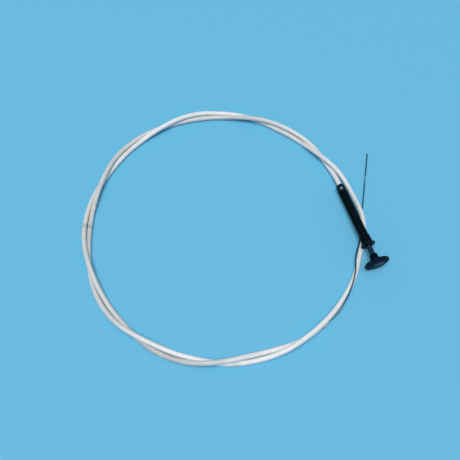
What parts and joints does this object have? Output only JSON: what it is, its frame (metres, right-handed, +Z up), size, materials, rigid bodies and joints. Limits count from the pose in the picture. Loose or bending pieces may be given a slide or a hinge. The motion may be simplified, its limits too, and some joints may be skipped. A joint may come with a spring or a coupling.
{
  "type": "push-pull control cable",
  "caption": "Push-pull control cable: a mushroom knob on a rod in a black tube handle pulls a wire through a white conduit laid in a ring",
  "frame": {"origin": "on the floor under the middle of the handle's box, measured from the rear ferrule to the knob's face, without the cable", "axes": "+Z up, -Y the way the knob points, +X to the handle's right as seen from behind it; the conduit's ring lies on the -X side"},
  "size_m": [0.3274, 0.294, 0.026],
  "materials": {
    "body_tube": "satin black",
    "front_collar": "satin black",
    "grip_ring": "matt",
    "mounting_flange": "satin black",
    "rear_ferrule": "worn plated steel",
    "conduit_sheath": "off-white, slightly grubby",
    "conduit_liner": "bare spring steel",
    "core_wire": "dark bare wire",
    "pull_rod": "dark steel",
    "knob": "glossy blue-black",
    "guide_piston": "natural nylon",
    "wire_anchor": "satin",
    "drive_wire": "dark bare wire",
    "tail_wire": "dark bare wire"
  },
  "bodies": {
    "barrel": {"body_tube": "body_tube", "front_collar": "front_collar", "grip_ring": "grip_ring", "mounting_flange": "mounting_flange", "rear_ferrule": "rear_ferrule", "conduit_sheath": "conduit_sheath", "conduit_liner": "conduit_liner", "core_wire": "core_wire"},
    "puller": {"knob": "knob", "pull_rod": "pull_rod", "guide_piston": "guide_piston", "wire_anchor": "wire_anchor", "drive_wire": "drive_wire"},
    "wire_end": {"tail_wire": "tail_wire"}
  },
  "joints": [
    {"name": "knob_pull", "type": "slide", "parent": "barrel", "child": "puller", "axis": [0, -0.9981, 0.0619], "range_m": [-0.0114, 0.03], "deforming": ["core_wire"]},
    {"name": "wire_end_slide", "type": "slide", "parent": "barrel", "child": "wire_end", "axis": [-0.4579, -0.889, 0], "range_m": [-0.0114, 0.03], "deforming": ["core_wire"]}
  ],
  "couplings": [
    {"joint": "wire_end_slide", "follows": "knob_pull", "ratio": 1}
  ]
}
